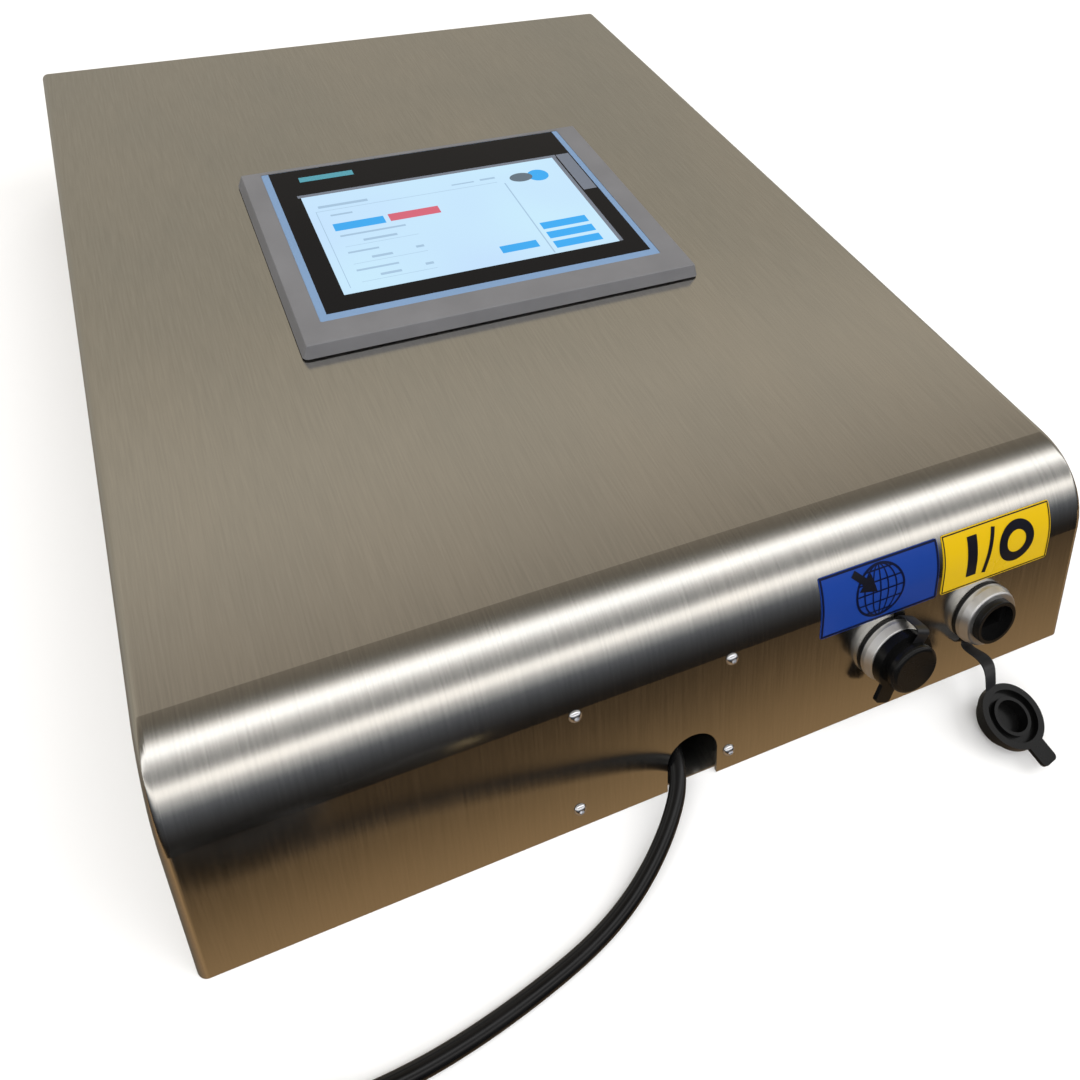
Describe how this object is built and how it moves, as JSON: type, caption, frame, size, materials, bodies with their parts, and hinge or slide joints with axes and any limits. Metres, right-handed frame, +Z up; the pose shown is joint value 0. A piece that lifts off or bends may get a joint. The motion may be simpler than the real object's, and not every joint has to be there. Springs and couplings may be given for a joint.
{
  "type": "date code inkjet printer",
  "caption": "Stainless control case of a date code inkjet printer, with a touch panel on top, capped data ports, a cable notch and a coiled mains lead.",
  "frame": {"origin": "centre of the case's bottom edge, on the surface it stands on", "axes": "+Z up, -Y towards the front with the ports and cable notch, +X to the right seen from the front"},
  "size_m": [0.446, 0.724, 0.0936],
  "materials": {
    "stainless": "satin brushed stainless sheet, grain front to back",
    "zinc": "bright zinc plate",
    "collar_satin": "satin silver",
    "black_plastic": "fine moulded texture",
    "black_rubber": "soft matt rubber",
    "bezel_grey": "fine moulded texture",
    "panel_film": "smooth printed film",
    "screen": "lit display",
    "label_blue": "printed vinyl",
    "label_yellow": "printed vinyl",
    "cable_black": "smooth PVC sheath",
    "terminal_grey": "moulded polyamide",
    "circuit_green": "solder resist",
    "aluminium": "folded sheet",
    "brass": "nickel-brass pins",
    "core_mixed": "PVC core insulation"
  },
  "bodies": {
    "housing": {"hood": "stainless", "base_plate": "stainless", "base_screws": "zinc", "front_screws": "zinc", "front_nuts": "zinc", "gland_bracket": "stainless", "gland_body": "black_plastic", "gland_nut": "black_plastic", "gland_locknut": "black_plastic", "gland_strain_relief": "black_rubber", "panel_bezel": "bezel_grey", "panel_glass": "panel_film", "panel_screen": "screen", "panel_seal": "black_rubber", "panel_housing": "black_plastic", "panel_board": "circuit_green", "panel_clamps": "black_plastic", "panel_clamp_screws": "zinc", "panel_plugs": "terminal_grey", "network_port_collar": "collar_satin", "network_port_body": "black_plastic", "network_strap_ring": "black_rubber", "io_port_collar": "collar_satin", "io_port_body": "black_plastic", "io_strap_ring": "black_rubber", "port_locknuts": "black_plastic", "port_jacks": "aluminium", "network_label": "label_blue", "io_label": "label_yellow", "terminal_rail": "zinc", "rail_screws": "zinc", "terminals": "terminal_grey", "terminal_end_stops": "terminal_grey", "supply_tray": "aluminium", "supply_cover": "aluminium", "supply_works": "circuit_green", "supply_terminals": "black_plastic", "controller_board": "circuit_green", "board_standoffs": "brass", "board_screws": "zinc", "board_connectors": "circuit_green", "board_chips": "black_plastic", "head_socket": "collar_satin", "head_socket_nut": "zinc", "earth_fixing": "brass", "inner_cores": "core_mixed", "mains_tail": "cable_black", "inner_leads": "cable_black", "mains_cable": "cable_black", "mains_cable_coil": "cable_black", "mains_cable_tie": "black_rubber", "mains_plug": "black_plastic", "mains_plug_pins": "brass", "mains_plug_relief": "black_rubber", "mains_plug_lead": "cable_black"},
    "network_cap": {"network_cap": "black_rubber", "network_cap_strap": "black_rubber"},
    "io_cap": {"io_cap": "black_rubber", "io_cap_strap": "black_rubber"}
  },
  "joints": [
    {"name": "network_cap_pull", "type": "slide", "parent": "housing", "child": "network_cap", "axis": [0, -0.9397, 0.342], "range_m": [0, 0.02]},
    {"name": "io_cap_swing", "type": "hinge", "parent": "housing", "child": "io_cap", "pos_m": [0.14402, -0.27814, 0.02042], "axis": [-1, 0, 0], "range_deg": [0, 80]}
  ]
}
